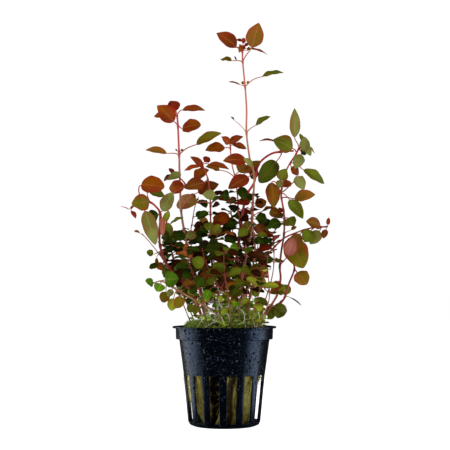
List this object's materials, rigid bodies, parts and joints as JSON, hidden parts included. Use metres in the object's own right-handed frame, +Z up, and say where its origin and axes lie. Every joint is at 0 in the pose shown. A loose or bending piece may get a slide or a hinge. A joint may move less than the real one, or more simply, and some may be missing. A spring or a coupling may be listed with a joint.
{
  "type": "aquarium marsh plant in a net pot",
  "caption": "Bushy red and green marsh plant with oval leaves on thin stems, rooted in rock wool in a slotted black net pot.",
  "frame": {"origin": "centre of the pot's flat base", "axes": "+Z up along the pot's axis and the plant's height, -Y towards the plant's front"},
  "size_m": [0.1093, 0.0864, 0.2178],
  "materials": {
    "pot_plastic": "black moulded plastic, satin, with a fine damp speckle",
    "rock_wool": "damp olive mineral fibre with brown folds",
    "stem_pale": "pale pink living stem",
    "stem_red": "red living stem",
    "leaf_olive": "smooth olive leaf",
    "leaf_red_brown": "smooth red-brown leaf",
    "leaf_red": "smooth red leaf",
    "leaf_dark_red": "smooth dark red leaf",
    "leaf_orange": "smooth orange-red leaf",
    "leaf_brown": "smooth brown leaf",
    "leaf_green": "smooth green leaf",
    "leaf_green_edged": "smooth green leaf with a red edge",
    "leaf_bright_green": "smooth bright green leaf",
    "leaf_grey_green": "matt grey-green leaf underside with a red vein"
  },
  "bodies": {
    "root": {"pot": "pot_plastic", "rock_wool": "rock_wool", "stem_tall": "stem_pale", "stem_left_tall": "stem_pale", "stem_mid": "stem_pale", "stem_inner_mid": "stem_red", "stem_cluster": "stem_red", "stem_left_arch": "stem_red", "stem_left_red": "stem_red", "stem_left_pale": "stem_pale", "stem_left_out": "stem_pale", "stem_right": "stem_red", "stem_right_low": "stem_red", "stem_right_arch": "stem_red", "stem_right_low2": "stem_red", "stem_second": "stem_pale", "stem_cross": "stem_red", "stem_centre_red": "stem_red", "stem_left_inner": "stem_red", "stem_back_left": "stem_red", "stem_back_mid": "stem_red", "stem_back_right": "stem_red", "stem_right_back": "stem_pale", "stem_front_left": "stem_red", "stem_front_mid": "stem_red", "stem_front_right": "stem_red", "stem_left_back": "stem_red", "stem_far_right": "stem_pale", "stem_right_side": "stem_red", "leaf_top_right": "leaf_olive", "leaf_top_left": "leaf_red_brown", "leaf_top_side": "leaf_red_brown", "leaf_upper_left": "leaf_green_edged", "leaf_upper_right": "leaf_green", "leaf_tall_right": "leaf_green", "leaf_tall_front": "leaf_orange", "leaf_tall_brown": "leaf_red_brown", "leaf_left_crown_big": "leaf_red_brown", "leaf_left_crown_top": "leaf_dark_red", "leaf_left_crown_right": "leaf_red_brown", "leaf_left_crown_oblong": "leaf_orange", "leaf_left_long_left": "leaf_olive", "leaf_left_long_right": "leaf_green_edged", "leaf_left_inner": "leaf_red_brown", "leaf_arch_dome": "leaf_orange", "leaf_arch_round": "leaf_green_edged", "leaf_arch_green": "leaf_grey_green", "leaf_arch_hanging": "leaf_grey_green", "leaf_cluster_olive": "leaf_olive", "leaf_cluster_brown": "leaf_brown", "leaf_mid_left": "leaf_orange", "leaf_arch_right_hanging": "leaf_green", "leaf_right_crown_front": "leaf_green", "leaf_right_crown_up": "leaf_grey_green", "leaf_right_drooping": "leaf_green", "leaf_right_olive": "leaf_olive", "leaf_right_green": "leaf_green", "leaf_low_right_big": "leaf_green_edged", "leaf_low_right_round": "leaf_olive", "leaf_low_left_green": "leaf_bright_green"}
  },
  "joints": []
}
